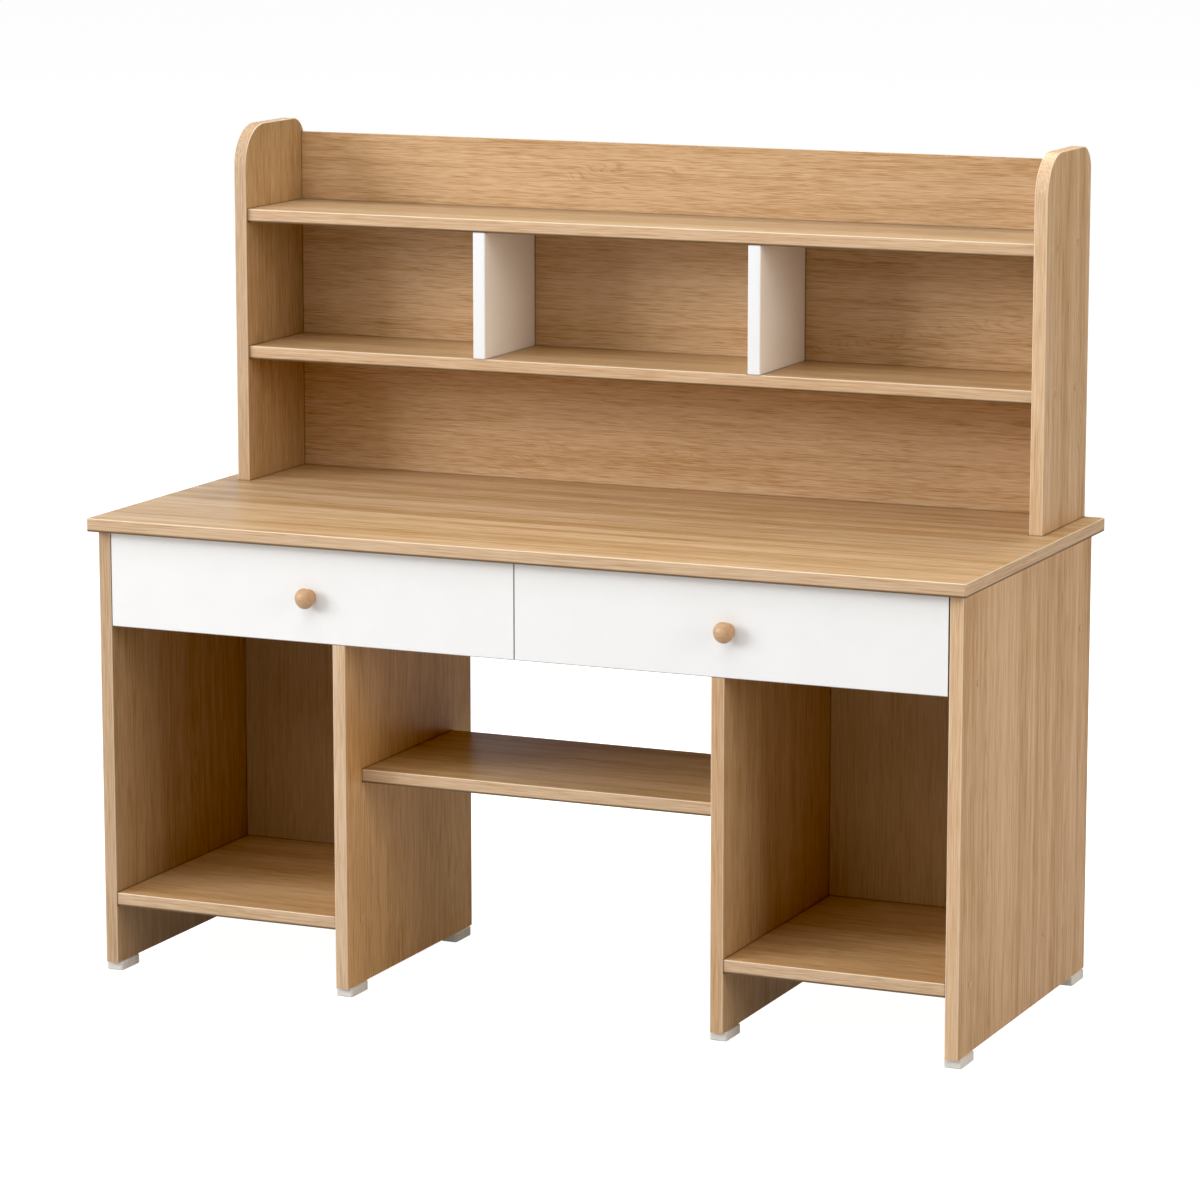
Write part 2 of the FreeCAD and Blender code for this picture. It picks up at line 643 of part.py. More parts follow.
def channel(half, web, flange, lip_turn, hand):
    """Return the section of a rolled slide member, upright lines in X.

    half is its half height, web and flange the distances of its web's
    outer face and its lips' outer face from the cabinet's side. The lips
    turn towards the middle (-1) or away from it (1), and hand mirrors it.
    """
    grow = "+" if value(flange) > value(web) else "-"
    shrink = "-" if grow == "+" else "+"
    inner_web = f"{web} {grow} steel"
    inner_lip = f"{flange} {shrink} steel"
    lip_end = f"{half} {'-' if lip_turn < 0 else '+'} lip"
    inside = f"{half} - steel"
    if lip_turn < 0:
        top = [(web, half, "bend"), (flange, half, "bend"), (flange, lip_end), (inner_lip, lip_end),
               (inner_lip, inside, "bend - steel"), (inner_web, inside, "bend - steel")]
    else:
        top = [(web, half, "bend"), (inner_lip, half, "bend - steel"), (inner_lip, lip_end),
               (flange, lip_end), (flange, inside, "bend"), (inner_web, inside, "bend - steel")]
    bottom = [(x, f"-({z})", *radius) for x, z, *radius in reversed(top)]
    return [(f"{hand} * ({x})", z, *radius) for x, z, *radius in top + bottom]


def make_slide(drawer, side, face, hand):
    """Make one telescopic slide: cabinet, middle and drawer members.

    face is the x of the cabinet side that carries it, and hand the way
    from there to the drawer.
    """
    members = (
        ("cabinet", "slide_half", "0", "slide_space - 2 * steel", -1),
        ("middle", "middle_half", "steel + web_play", "slide_space - 2 * steel", -1),
        ("drawer", "drawer_half", "slide_space", "2 * (steel + web_play)", 1),
    )
    for name, half, web, flange, lip_turn in members:
        label = f"{drawer}_drawer_{side}_slide_{name}_member"
        body = new_body(label, (face, "slide_front", "slide_middle"))
        pad(body, label + "_rolling", "XZ", channel(half, web, flange, lip_turn, hand), "slide_length")


def make_balls(drawer, slides):
    """Make the balls of a drawer's two slides as one group."""
    radius = value("ball") / 2
    across = "slide_space - 3 * steel - ball_play - ball / 2"
    rows = [f"{half} - steel - ball_play - ball / 2" for half in ("slide_half", "middle_half")]
    balls = []
    for face, hand in slides:
        x = value(f"{face} + {hand} * ({across})")
        for height in rows:
            for up in (-1, 1):
                z = value(f"slide_middle + {up} * ({height})")
                for way in (-0.5, 0.5):
                    y = value(f"slide_front + slide_length / 2 + {way} * ball_spacing")
                    balls.append(Part.makeSphere(radius, FreeCAD.Vector(x, y, z)))
    add_group(f"{drawer}_drawer_slide_balls", balls)


def add_group(label, solids):
    """Keep several equal small pieces together in one node."""
    group = doc.addObject("Part::Feature", label)
    group.Label = label
    group.Shape = Part.makeCompound(solids)
    nodes.append(group)


def make_screws():
    """Make all confirmat screws and the caps over their heads."""
    screws, caps = [], []
    for face, y, z, direction in screw_places:
        way = 1 if direction == "+" else -1
        axis = FreeCAD.Vector(way, 0, 0)
        outside = FreeCAD.Vector(value(face), value(y), value(z))
        seat = outside + axis * value("screw_head_height")
        head = Part.makeCylinder(value("screw_head") / 2, value("screw_head_height"), outside, axis)
        shank = Part.makeCylinder(value("screw") / 2, value("screw_length"), seat, axis)
        screws.append(head.fuse(shank))
        caps.append(Part.makeCylinder(value("cap") / 2, value("cap_height"), outside, -axis))
    add_group("confirmat_screws", screws)
    add_group("screw_caps", caps)


def make_dowels():
    """Make all dowels, each half in the board below and half above."""
    length = value("dowel_length")
    up = FreeCAD.Vector(0, 0, 1)
    dowels = []
    for x, y, seam in dowel_places:
        foot = FreeCAD.Vector(value(x), value(y), value(seam) - length / 2)
        dowels.append(Part.makeCylinder(value("dowel") / 2, length, foot, up))
    add_group("dowels", dowels)


def check_document():
    """Stop if any feature failed or any piece is empty or broken."""
    for item in doc.Objects:
        if "Invalid" in item.State or "Error" in item.State:
            raise RuntimeError(f"{item.Label} failed: {item.State}")
    for node in nodes:
        if node.Shape.isNull() or not node.Shape.isValid() or not node.Shape.Solids:
            raise RuntimeError(f"{node.Label} has no valid solid")


def export_nodes():
    """Write one STEP file for each node."""
    os.makedirs("parts", exist_ok=True)
    for node in nodes:
        node.Shape.exportStep(f"parts/{node.Label}.step")


fill_sheet()
worktop = make_desk()
make_hutch(worktop)
make_feet()
left_slides = (("-inner_face", 1), ("-board / 2", -1))
right_slides = (("board / 2", 1), ("inner_face", -1))
for drawer_name, slide_pair in (("left", left_slides), ("right", right_slides)):
    make_drawer(drawer_name)
    for slide_side, (slide_face, slide_hand) in zip(("left", "right"), slide_pair):
        make_slide(drawer_name, slide_side, slide_face, slide_hand)
    make_balls(drawer_name, slide_pair)
make_screws()
make_dowels()
doc.recompute()
check_document()
export_nodes()
print(len(nodes), "nodes")
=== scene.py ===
"""Looks of the student desk with hutch: its finishes, small fittings, floor, light and camera."""

import math

import bpy
import numpy as np
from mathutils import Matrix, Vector


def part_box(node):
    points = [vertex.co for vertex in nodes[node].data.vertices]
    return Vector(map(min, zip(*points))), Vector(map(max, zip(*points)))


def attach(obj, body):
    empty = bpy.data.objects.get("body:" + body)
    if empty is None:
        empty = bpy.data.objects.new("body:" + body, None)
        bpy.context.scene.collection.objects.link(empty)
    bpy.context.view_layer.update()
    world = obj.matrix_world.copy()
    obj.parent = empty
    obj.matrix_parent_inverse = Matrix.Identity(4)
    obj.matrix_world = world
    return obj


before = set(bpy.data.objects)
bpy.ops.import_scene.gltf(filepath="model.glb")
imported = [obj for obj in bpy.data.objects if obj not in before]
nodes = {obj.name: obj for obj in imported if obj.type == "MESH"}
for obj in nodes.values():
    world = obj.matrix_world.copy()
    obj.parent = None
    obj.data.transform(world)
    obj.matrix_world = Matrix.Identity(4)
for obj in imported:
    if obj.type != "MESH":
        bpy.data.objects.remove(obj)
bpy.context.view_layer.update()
scene = bpy.context.scene

MM = 0.001
SLIDE_STEEL = 1.2 * MM          # thickness of the slide members' webs


# ---------------------------------------------------------------- node helpers

def add_node(tree, kind, sockets=None, **settings):
    """Add a shader node, set its properties, and set or link its inputs."""
    node = tree.nodes.new("ShaderNode" + kind)
    for name, setting in settings.items():
        setattr(node, name, setting)
    for name, source in (sockets or {}).items():
        if isinstance(source, bpy.types.NodeSocket):
            tree.links.new(source, node.inputs[name])
        else:
            node.inputs[name].default_value = source
    return node


def maths(tree, operation, *sources, clamp=False):
    """Return the result of a Math node on one to three numbers or sockets."""
    node = add_node(tree, "Math", dict(enumerate(sources)), operation=operation, use_clamp=clamp)
    return node.outputs[0]


def vector_maths(tree, operation, *sources):
    """Return the result of a Vector Math node on one or two vectors."""
    node = add_node(tree, "VectorMath", dict(enumerate(sources)), operation=operation)
    return node.outputs[0]


def noise(tree, place, scale, detail=2.0, roughness=0.5):
    """Return a Noise texture's value, 0 to 1, at place times a vector scale."""
    scaled = vector_maths(tree, "MULTIPLY", place, scale)
    sockets = {"Vector": scaled, "Scale": 1.0, "Detail": detail, "Roughness": roughness}
    return add_node(tree, "TexNoise", sockets, noise_dimensions="3D").outputs[0]


def remap(tree, source, low, high, to_low=0.0, to_high=1.0, kind="SMOOTHSTEP"):
    """Return source mapped from low..high to to_low..to_high, held at the ends."""
    sockets = {"Value": source, "From Min": low, "From Max": high,
               "To Min": to_low, "To Max": to_high}
    return add_node(tree, "MapRange", sockets, interpolation_type=kind).outputs[0]


def blend(tree, amount, first, second, kind="MIX"):
    """Return two colours mixed by amount."""
    node = add_node(tree, "Mix", {"Factor": amount}, data_type="RGBA", blend_type=kind)
    for socket, source in ((node.inputs[6], first), (node.inputs[7], second)):
        if isinstance(source, bpy.types.NodeSocket):
            tree.links.new(source, socket)
        else:
            socket.default_value = source
    return node.outputs[2]


def vector_blend(tree, amount, first, second):
    """Return two vectors mixed by amount."""
    node = add_node(tree, "Mix", {"Factor": amount}, data_type="VECTOR")
    tree.links.new(first, node.inputs[4])
    tree.links.new(second, node.inputs[5])
    return node.outputs[1]


def new_group(name, inputs, outputs):
    """Start a shader node group with named sockets; return it and its two ends."""
    group = bpy.data.node_groups.new(name, "ShaderNodeTree")
    for label, kind, start in inputs:
        socket = group.interface.new_socket(label, in_out="INPUT", socket_type="NodeSocket" + kind)
        socket.default_value = start
    for label, kind in outputs:
        group.interface.new_socket(label, in_out="OUTPUT", socket_type="NodeSocket" + kind)
    entry = group.nodes.new("NodeGroupInput")
    leave = group.nodes.new("NodeGroupOutput")
    return group, entry.outputs, leave.inputs


def use_group(tree, group, sockets):
    """Place a node group in a tree and return its outputs."""
    node = tree.nodes.new("ShaderNodeGroup")
    node.node_tree = group
    for name, source in sockets.items():
        if isinstance(source, bpy.types.NodeSocket):
            tree.links.new(source, node.inputs[name])
        else:
            node.inputs[name].default_value = source
    return node.outputs


# ---------------------------------------------------------------- node groups

MIDDLE_SHADE = 0.255            # shade of oak, from light to dark, where no layer of grain shows


def make_oak_group():
    """Grain of oak-faced board at Place: x along the grain, y and z across it.

    Growth rings are the whole numbers of a phase, a slope across the grain
    plus slow noises. They run straight where the slope wins, and close into
    small cathedrals where the heart, a wide mask, lets a noise win. Bands,
    fibres, pores and threads are noises stretched along the grain, each
    finer than the one before it, and veins are the thin lines where such a
    noise crosses its middle. All of them, each times its share, add up to a
    shade between Light and Dark.
    """
    group, given, result = new_group(
        "oak_grain",
        [("Place", "Vector", (0, 0, 0)), ("Light", "Color", (1, 1, 1, 1)),
         ("Dark", "Color", (0, 0, 0, 1)), ("Figure", "Float", 1.0), ("Bands", "Float", 1.0),
         ("Depth", "Float", 1.0)],
        [("Color", "Color"), ("Roughness", "Float"), ("Height", "Float")])
    place = given["Place"]

    def grain_noise(along, across, detail=2.0, roughness=0.5):
        """Return a noise with so many repeats per metre along the grain and across it."""
        return noise(group, place, (along, across, across), detail, roughness)

    wander = grain_noise(1.3, 5.0)
    swell = grain_noise(7.0, 30.0)
    heart = remap(group, grain_noise(2.2, 9.0, detail=0.0), 0.54, 0.70)
    slope = maths(group, "MULTIPLY", add_node(group, "SeparateXYZ", {0: place}).outputs[1], 290.0)
    reach = maths(group, "MULTIPLY", given["Figure"], maths(group, "MULTIPLY_ADD", heart, 11.0, 1.5))
    phase = maths(group, "MULTIPLY_ADD", swell, reach, slope)
    phase = maths(group, "MULTIPLY_ADD", wander, 8.0, phase)
    rings = remap(group, maths(group, "PINGPONG", phase, 0.5), 0.0, 0.24, 1.0, 0.0)
    showing = remap(group, grain_noise(3.0, 26.0), 0.38, 0.62)
    strength = maths(group, "MULTIPLY_ADD", heart, 0.26, maths(group, "MULTIPLY", showing, 0.16))

    drift = remap(group, grain_noise(0.6, 11.0), 0.30, 0.70, -0.5, 0.5)
    band = remap(group, grain_noise(1.4, 34.0, 3.0, 0.6), 0.32, 0.68, -0.5, 0.5)
    broad = maths(group, "MULTIPLY", maths(group, "MULTIPLY_ADD", drift, 0.5, band), given["Bands"])
    vein = maths(group, "SUBTRACT", grain_noise(6.5, 200.0, detail=1.0), 0.5)
    vein = remap(group, maths(group, "ABSOLUTE", vein), 0.0, 0.07, 1.0, 0.0)
    fibre = grain_noise(18.0, 390.0, 1.5, 0.6)
    pores = remap(group, grain_noise(36.0, 450.0, detail=1.0), 0.60, 0.72)
    thread = grain_noise(42.0, 860.0, detail=1.0)
    fine = remap(group, fibre, 0.34, 0.66, -0.5, 0.5, "LINEAR")
    hair = remap(group, thread, 0.30, 0.70, -0.5, 0.5, "LINEAR")

    shade = maths(group, "MULTIPLY", rings, strength)
    for layer, share in ((broad, 0.42), (vein, 0.34), (fine, 0.32), (hair, 0.55), (pores, 0.25)):
        shade = maths(group, "MULTIPLY_ADD", layer, share, shade)
    shade = maths(group, "MULTIPLY_ADD", shade, given["Depth"], MIDDLE_SHADE, clamp=True)
    group.links.new(blend(group, shade, given["Light"], given["Dark"]), result["Color"])
    group.links.new(remap(group, fibre, 0.3, 0.7, 0.36, 0.46, "LINEAR"), result["Roughness"])
    relief = maths(group, "SUBTRACT", maths(group, "MULTIPLY", thread, 0.35), pores)
    group.links.new(relief, result["Height"])
    return group


def make_joint_group():
    """Mask that is 0 where a surface meets the box Low to High and 1 a Width away from it.

    Away is how far a place lies outside the box along each axis, and the
    length of that vector is its distance from the box.
    """
    group, given, result = new_group(
        "board_joint",
        [("Place", "Vector", (0, 0, 0)), ("Low", "Vector", (0, 0, 0)), ("High", "Vector", (0, 0, 0)),
         ("Width", "Float", MM)],
        [("Mask", "Float")])
    below = vector_maths(group, "SUBTRACT", given["Low"], given["Place"])
    above = vector_maths(group, "SUBTRACT", given["Place"], given["High"])
    away = vector_maths(group, "MAXIMUM", vector_maths(group, "MAXIMUM", below, above), (0, 0, 0))
    distance = add_node(group, "VectorMath", {0: away}, operation="LENGTH").outputs["Value"]
    group.links.new(remap(group, distance, 0.0, given["Width"]), result["Mask"])
    return group


OAK = make_oak_group()
JOINT = make_joint_group()


# ---------------------------------------------------------------- materials

AXES = "xyz"
PLAIN = (1.0, 1.0, 1.0)
LIGHT_OAK = (0.662, 0.473, 0.294)
DARK_OAK = (0.392, 0.221, 0.080)
LIGHT_EDGE = (0.668, 0.495, 0.336)
DARK_EDGE = (0.470, 0.290, 0.150)
PAINTED_HIGHLIGHT_OAK = (0.880, 0.740, 0.570, 1)
SHADED_OAK = (0.120, 0.070, 0.030, 1)
BEECH = (0.590, 0.376, 0.214, 1)
BEECH_BAND = (0.515, 0.312, 0.168, 1)
BEECH_FLECK = (0.360, 0.190, 0.100, 1)
# The divider faces, in the cubbies' shade, are painted warmer than the lit edges with bounced light.
DIVIDER_WHITE = (0.940, 0.910, 0.860, 1)
DIVIDER_EDGE = (0.840, 0.890, 0.940, 1)
DRAWER_WHITE = (0.883, 0.897, 0.915, 1)
# Grey on the drawer fronts' narrow edges paints the shade in the gaps between the fronts.
DRAWER_EDGE_SHADE_GREY = (0.500, 0.490, 0.470, 1)
MOTTLE_GREY = (0.350, 0.340, 0.320, 1)
ARRIS_SHADE_GREY = (0.300, 0.280, 0.260, 1)
JOINT_SHADE_GREY = (0.300, 0.260, 0.220, 1)
UPRIGHT_JOINT_SHADE, LEVEL_JOINT_SHADE = 2.4 * MM, 5.0 * MM     # widths of the painted shade lines along joints
LIP_DARK, LIP_CLEAR = 2.6 * MM, 4.4 * MM            # heights above a level board's underside where the painted shade is full and where it ends


def new_material(name):
    """Return a new material, its tree, its Principled shader and its object coordinates."""
    material = bpy.data.materials.new(name)
    material.use_nodes = True
    tree = material.node_tree
    shader = tree.nodes["Principled BSDF"]
    place = add_node(tree, "TexCoord").outputs["Object"]
    return material, tree, shader, place


def coat(tree, shader, colour, roughness, relief, depth):
    """Give the shader its colour, its roughness and a relief of this depth in metres."""
    bump = add_node(tree, "Bump", {"Height": relief, "Distance": depth, "Strength": 1.0})
    tree.links.new(colour, shader.inputs["Base Color"])
    tree.links.new(roughness, shader.inputs["Roughness"])
    tree.links.new(bump.outputs[0], shader.inputs["Normal"])


def face_sides(tree):
    """Return how squarely a surface faces along each axis, and the Z of its normal."""
    normal = add_node(tree, "TexCoord").outputs["Normal"]
    sides = add_node(tree, "SeparateXYZ", {0: vector_maths(tree, "ABSOLUTE", normal)}).outputs
    return dict(zip(AXES, sides)), add_node(tree, "SeparateXYZ", {0: normal}).outputs[2]


def arris_masks(tree, facing, upward):
    """Return masks of the rounded arrises for painted highlight and shade, upper and upright ones
    first, then lower ones.

    facing is how squarely the surface faces as the board's faces do: an
    arris lies where it is neither 0, as on the edges, nor 1.
    """
    off_edge = remap(tree, facing, 0.06, 0.35)
    arris = maths(tree, "MULTIPLY", off_edge, remap(tree, facing, 0.90, 0.985, 1.0, 0.0))
    lower = maths(tree, "MULTIPLY", arris, maths(tree, "LESS_THAN", upward, -0.1))
    return maths(tree, "SUBTRACT", arris, lower), lower


def tinted(colour, tone):
    """Return a colour multiplied by a tone, channel by channel."""
    return tuple(channel * share for channel, share in zip(colour, tone)) + (1,)


def neighbours(board):
    """Return the boxes of the boards that touch a board's box."""
    touch = 0.5 * MM
    low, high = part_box(board)
    boxes = [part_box(other) for other in JOINTED_BOARDS if other != board]
    return [box for box in boxes
            if all(box[0][i] < high[i] + touch and low[i] < box[1][i] + touch for i in range(3))]


def joint_shade_mask(tree, place, upward, board):
    """Return 0 on a board's free faces, and up to 1 in a line of painted shade along each board that it
    meets.

    The lines are wider on level faces.
    """
    level = maths(tree, "ABSOLUTE", upward)
    line_width = remap(tree, level, 0.5, 0.9, UPRIGHT_JOINT_SHADE, LEVEL_JOINT_SHADE)
    free = 1.0
    for low, high in neighbours(board):
        joint = use_group(tree, JOINT, {"Place": place, "Low": low, "High": high, "Width": line_width})
        free = maths(tree, "MULTIPLY", free, joint["Mask"])
    return maths(tree, "SUBTRACT", 1.0, free)


def oak_material(name, grain, face, seed, figure=1.0, bands=0.5, depth=1.0, repeats=0.8, tone=PLAIN,
                 board=None):
    """Oak-faced board: grain is the axis it runs along, face the axis its faces look along.

    seed moves the grain, so that the boards differ. figure, bands and depth
    strengthen the cathedrals, the bands and all of the grain, repeats
    multiplies how often it repeats along the board, and tone tints it. The
    narrow edges have banding, with its grain along them. Upper and upright
    arrises get a painted highlight, and lower ones painted shade. On a level
    board the edges get painted shade just above the lower arris, where they
    turn under.
    """
    material, tree, shader, place = new_material(name)
    width = (set(AXES) - {grain, face}).pop()
    parts = dict(zip(AXES, add_node(tree, "SeparateXYZ", {0: place}).outputs))
    sides, upward = face_sides(tree)

    def ordered(along, across, deep):
        """Return the place with these axes as x, y and z."""
        axes = {0: parts[along], 1: parts[across], 2: parts[deep]}
        return add_node(tree, "CombineXYZ", axes).outputs[0]

    on_face = remap(tree, sides[face], 0.6, 0.8)
    on_end = maths(tree, "GREATER_THAN", sides[grain], 0.7)
    turned = vector_blend(tree, on_face, ordered(grain, face, width), ordered(grain, width, face))
    turned = vector_blend(tree, on_end, turned, ordered(width, face, grain))
    shifted = add_node(tree, "Mapping", {"Vector": turned, "Location": seed, "Scale": (repeats, 1, 1)})
    edge_tone = EDGE_TONES.get(board, PLAIN)
    light = blend(tree, on_face, tinted(LIGHT_EDGE, edge_tone), tinted(LIGHT_OAK, tone))
    dark = blend(tree, on_face, tinted(DARK_EDGE, edge_tone), tinted(DARK_OAK, tone))
    oak = use_group(tree, OAK, {"Place": shifted.outputs[0], "Light": light, "Dark": dark,
                                "Figure": maths(tree, "MULTIPLY", on_face, figure),
                                "Bands": maths(tree, "MULTIPLY", on_face, bands),
                                "Depth": maths(tree, "MULTIPLY_ADD", on_face, depth - 1.0, 1.0)})
    # Painted highlight on the upper and upright arrises.
    painted_highlight, below = arris_masks(tree, sides[face], upward)
    colour = blend(tree, maths(tree, "MULTIPLY", painted_highlight, 0.6), oak["Color"], PAINTED_HIGHLIGHT_OAK)
    # Painted shade on the lower arrises.
    colour = blend(tree, maths(tree, "MULTIPLY", below, 0.7), colour, SHADED_OAK)
    # Painted shade on a level board's edges, just above the lower arris.
    if board and face == "z":
        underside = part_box(board)[0][2]
        lip_shade = remap(tree, parts["z"], underside + LIP_DARK, underside + LIP_CLEAR, 0.85, 0.0)
        lip_shade = maths(tree, "MULTIPLY", lip_shade, maths(tree, "SUBTRACT", 1.0, on_face))
        colour = blend(tree, lip_shade, colour, SHADED_OAK)
    # Painted shade in lines along the boards that this one meets.
    if board:
        joint_shade = maths(tree, "MULTIPLY", joint_shade_mask(tree, place, upward, board), 0.6)
        colour = blend(tree, joint_shade, colour, SHADED_OAK)
    coat(tree, shader, colour, oak["Roughness"], oak["Height"], 0.01 * MM)
    shader.inputs["Specular IOR Level"].default_value = 0.3
    return material


def white_material(name, face, face_white, edge_white, board=None):
    """White melamine: a faint mottle, a fine texture, and painted grey shade in the joints and lower
    arrises.
    """
    material, tree, shader, place = new_material(name)
    sides, upward = face_sides(tree)
    mottle = noise(tree, place, (14.0, 14.0, 14.0), 3.0, 0.6)
    fine = noise(tree, place, (900.0, 900.0, 900.0), 2.0)
    on_face = remap(tree, sides[face], 0.6, 0.8)
    clean = blend(tree, on_face, edge_white, face_white)
    colour = blend(tree, remap(tree, mottle, 0.3, 0.7, 0.0, 0.03), clean, MOTTLE_GREY)
    # Painted grey shade on the lower arrises.
    below = arris_masks(tree, sides[face], upward)[1]
    colour = blend(tree, maths(tree, "MULTIPLY", below, 0.6), colour, ARRIS_SHADE_GREY)
    # Painted grey shade in lines along the boards that this one meets.
    if board:
        joint_shade = maths(tree, "MULTIPLY", joint_shade_mask(tree, place, upward, board), 0.5)
        colour = blend(tree, joint_shade, colour, JOINT_SHADE_GREY)
    coat(tree, shader, colour, remap(tree, mottle, 0.3, 0.7, 0.34, 0.42), fine, 0.03 * MM)
    shader.inputs["Specular IOR Level"].default_value = 0.45
    return material


def beech_material(name, axis):
    """Beech with bands and short dark flecks that run along an axis."""
    material, tree, shader, place = new_material(name)
    stretch = {"x": (6.0, 60.0, 60.0), "y": (60.0, 6.0, 60.0), "z": (60.0, 60.0, 6.0)}[axis]
    bands = noise(tree, place, tuple(4 * s for s in stretch), 2.0)
    flecks = noise(tree, place, tuple(26 * s for s in stretch), 2.0)
    base = blend(tree, remap(tree, bands, 0.3, 0.7), BEECH, BEECH_BAND)
    spots = remap(tree, flecks, 0.60, 0.72, 0.0, 0.55)
    colour = blend(tree, spots, base, BEECH_FLECK)
    coat(tree, shader, colour, remap(tree, flecks, 0.3, 0.7, 0.34, 0.44), flecks, 0.04 * MM)
    return material


def plastic_material(name, light, dark, roughness, left_tone=PLAIN):
    """Moulded plastic with faint dusting and a fine spark-eroded texture.

    Pieces on the desk's left end are tinted by left_tone, to match their boards.
    """
    material, tree, shader, place = new_material(name)
    dusting = noise(tree, place, (60.0, 60.0, 60.0), 3.0)
    fine = noise(tree, place, (2200.0, 2200.0, 2200.0), 1.0)
    left_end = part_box("hutch_left_side")[1][0]
    on_left = maths(tree, "LESS_THAN", add_node(tree, "SeparateXYZ", {0: place}).outputs[0], left_end)
    colour = blend(tree, remap(tree, dusting, 0.3, 0.7), light, dark)
    colour = blend(tree, on_left, colour, left_tone + (1,), "MULTIPLY")
    dull = remap(tree, dusting, 0.3, 0.7, roughness - 0.05, roughness + 0.07)
    coat(tree, shader, colour, dull, fine, 0.03 * MM)
    return material


def steel_material(name, light, dark, stretch, roughness):
    """Plated steel with streaks along its rolling direction."""
    material, tree, shader, place = new_material(name)
    streaks = noise(tree, place, stretch, 3.0, 0.6)
    cloud = noise(tree, place, (40.0, 40.0, 40.0), 2.0)
    tone = maths(tree, "MULTIPLY_ADD", streaks, 0.6, maths(tree, "MULTIPLY", cloud, 0.4))
    colour = blend(tree, remap(tree, tone, 0.3, 0.7), light, dark)
    dull = remap(tree, tone, 0.3, 0.7, roughness - 0.06, roughness + 0.1)
    coat(tree, shader, colour, dull, streaks, 0.02 * MM)
    shader.inputs["Metallic"].default_value = 1.0
    return material


def dress(node, material):
    """Give a CAD node one material in its object's slots."""
    piece = nodes[node]
    if not piece.material_slots:
        piece.data.materials.append(None)
    for slot in piece.material_slots:
        slot.link = "OBJECT"
        slot.material = material


# board: (grain, face, figure, bands, depth, repeats, tone), as in oak_material
# Some tones, such as the upper shelf's darker one, also paint the shade that falls on a whole board.
OAK_BOARDS = {
    "desktop": ("x", "z", 0.8, 1.5, 1.0, 0.5, (0.98, 0.97, 0.95)),
    "left_side_panel": ("z", "x", 0.7, 0.6, 0.9, 0.5, (0.80, 0.80, 0.79)),
    "right_side_panel": ("z", "x", 0.9, 1.4, 0.9, 0.5, (1.08, 1.03, 1.01)),
    "left_inner_panel": ("z", "x", 0.7, 0.5, 0.9, 0.6, (1.11, 0.96, 0.72)),
    "right_inner_panel": ("z", "x", 0.7, 0.5, 0.9, 0.6, (0.93, 0.92, 0.90)),
    "left_pedestal_floor": ("x", "z", 0.8, 1.0, 1.0, 0.8, (1.02, 0.96, 0.85)),
    "right_pedestal_floor": ("x", "z", 0.8, 1.0, 1.0, 0.8, (1.02, 0.96, 0.85)),
    "left_pedestal_back": ("z", "y", 0.5, 0.3, 0.5, 0.6, (0.77, 0.77, 0.77)),
    "right_pedestal_back": ("z", "y", 0.5, 0.3, 0.5, 0.6, (0.95, 0.96, 0.92)),
    "kneehole_shelf": ("x", "z", 0.9, 1.0, 1.0, 0.6, (0.95, 0.90, 0.78)),
    "drawer_deck": ("x", "z", 0.8, 0.5, 1.0, 0.8, PLAIN),
    "centre_partition": ("y", "x", 0.8, 0.5, 1.0, 0.8, PLAIN),
    "rear_apron": ("x", "y", 1.0, 0.5, 1.0, 0.8, PLAIN),
    "hutch_left_side": ("z", "x", 0.8, 0.5, 1.0, 0.7, (0.80, 0.76, 0.69)),
    "hutch_right_side": ("z", "x", 0.8, 1.2, 1.0, 0.5, (1.08, 1.08, 1.12)),
    "hutch_back": ("x", "y", 0.9, 0.6, 0.9, 0.8, (1.03, 1.00, 0.99)),
    "hutch_lower_shelf": ("x", "z", 0.9, 1.0, 1.0, 0.6, (1.06, 1.05, 1.00)),
    "hutch_upper_shelf": ("x", "z", 0.9, 1.0, 1.0, 0.6, (0.77, 0.78, 0.81)),
}
# board: tone of its edging
EDGE_TONES = {
    "left_side_panel": (0.88, 0.86, 0.84),
    "right_side_panel": (1.12, 1.09, 1.04),
    "left_inner_panel": (1.06, 1.07, 1.09),
    "right_inner_panel": (0.95, 0.87, 0.78),
    "hutch_left_side": (0.91, 0.91, 0.92),
    "hutch_right_side": (1.10, 1.11, 1.09),
}
DIVIDERS = ("left_divider", "right_divider")
JOINTED_BOARDS = (*OAK_BOARDS, *DIVIDERS)
for number, (board, (grain, face, *look)) in enumerate(OAK_BOARDS.items(), start=1):
    seed = (0.37 * number, 0.113 * number, 0.071 * number)
    dress(board, oak_material(board + "_oak", grain, face, seed, *look, board=board))

for board in DIVIDERS:
    dress(board, white_material(board + "_white", "x", DIVIDER_WHITE, DIVIDER_EDGE, board))
drawer_white = white_material("drawer_front_white", "y", DRAWER_WHITE, DRAWER_EDGE_SHADE_GREY)
knob_beech = beech_material("knob_beech", "x")
BOX_TONE = (1.10, 1.10, 1.10)
BOTTOM_TONE = (1.18, 1.18, 1.18)
box_oak = {axis: oak_material(f"drawer_box_oak_{axis}", axis, face, (5.1, 2.3, 1.7), 0.5, tone=BOX_TONE)
           for axis, face in (("y", "x"), ("x", "y"))}
bottom_oak = oak_material("drawer_bottom_oak", "x", "z", (7.7, 3.1, 0.9), 0.5, tone=BOTTOM_TONE)
zinc_steel = steel_material(
    "slide_zinc", (0.62, 0.63, 0.65, 1), (0.46, 0.47, 0.49, 1), (400.0, 5.0, 400.0), 0.34)
ball_chrome = steel_material(
    "ball_chrome", (0.80, 0.81, 0.83, 1), (0.66, 0.67, 0.69, 1), (300.0, 300.0, 300.0), 0.14)
screw_zinc = steel_material(
    "screw_zinc", (0.60, 0.60, 0.61, 1), (0.42, 0.42, 0.43, 1), (500.0, 500.0, 500.0), 0.36)
